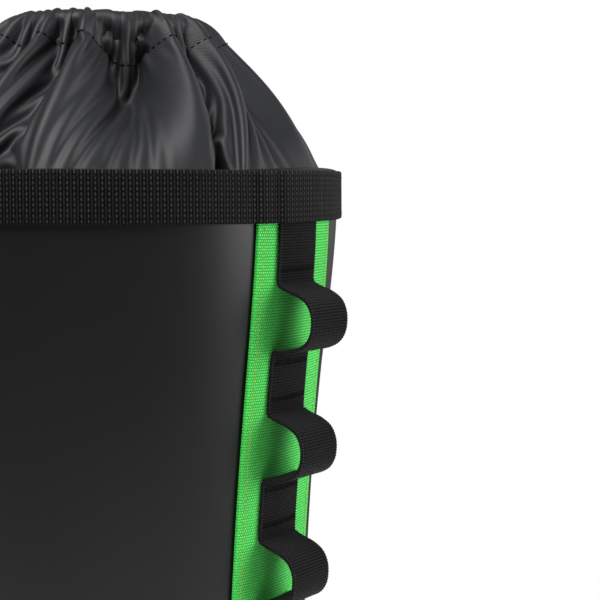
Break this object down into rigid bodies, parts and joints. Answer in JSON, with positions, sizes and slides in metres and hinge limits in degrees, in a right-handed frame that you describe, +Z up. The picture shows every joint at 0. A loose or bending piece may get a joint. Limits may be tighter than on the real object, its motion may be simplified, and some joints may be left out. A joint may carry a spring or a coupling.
{
  "type": "rope storage bag",
  "caption": "Round rope bag of coated fabric with a gathered drawcord skirt, webbing daisy chains on both sides, a haul loop and a padded carry handle.",
  "frame": {"origin": "centre of the base's underside, on the floor", "axes": "+Z up to the mouth, daisy chains at +X and -X, the haul loop and carry handle at +Y"},
  "size_m": [0.2306, 0.224, 0.4685],
  "materials": {
    "tarpaulin": "satin coated",
    "skirt_nylon": "plain weave, light sheen",
    "black_webbing": "matt woven",
    "green_webbing": "matt woven",
    "cord": "braided",
    "plastic": "fine satin",
    "steel": "brushed"
  },
  "bodies": {
    "bag": {"body_wall": "tarpaulin", "base_disc": "tarpaulin", "base_band": "black_webbing", "rim_band": "black_webbing", "rim_stiffener": "plastic", "inner_tie_loop": "black_webbing", "closure_skirt": "skirt_nylon", "drawcord_channel": "skirt_nylon", "cord_exit_eyelet": "steel", "drawcord": "cord", "cord_pull_tab": "plastic", "haul_loop_tab": "black_webbing", "back_patch": "tarpaulin", "handle_tab_upper": "black_webbing", "handle_tab_lower": "black_webbing", "carry_handle": "black_webbing", "handle_grip": "skirt_nylon", "side_webbing_right": "green_webbing", "daisy_chain_right": "black_webbing", "side_webbing_left": "green_webbing", "daisy_chain_left": "black_webbing"},
    "cord_lock": {"cord_lock_body": "plastic", "cord_lock_spring": "steel"},
    "lock_button": {"cord_lock_button": "plastic"},
    "haul_loop": {"haul_loop": "black_webbing"}
  },
  "joints": [
    {"name": "cord_lock_slide", "type": "slide", "parent": "bag", "child": "cord_lock", "axis": [-0.4759, 0.4759, -0.7396], "range_m": [0, 0.01]},
    {"name": "cord_lock_press", "type": "slide", "parent": "cord_lock", "child": "lock_button", "axis": [0.7071, 0.7071, 0], "range_m": [0, 0.0028], "stiffness_N_per_m": 900, "deforming": ["cord_lock_spring"]},
    {"name": "haul_loop_swing", "type": "hinge", "parent": "bag", "child": "haul_loop", "pos_m": [0, 0.105, 0.3722], "axis": [1, 0, 0], "range_deg": [0, 150]}
  ]
}
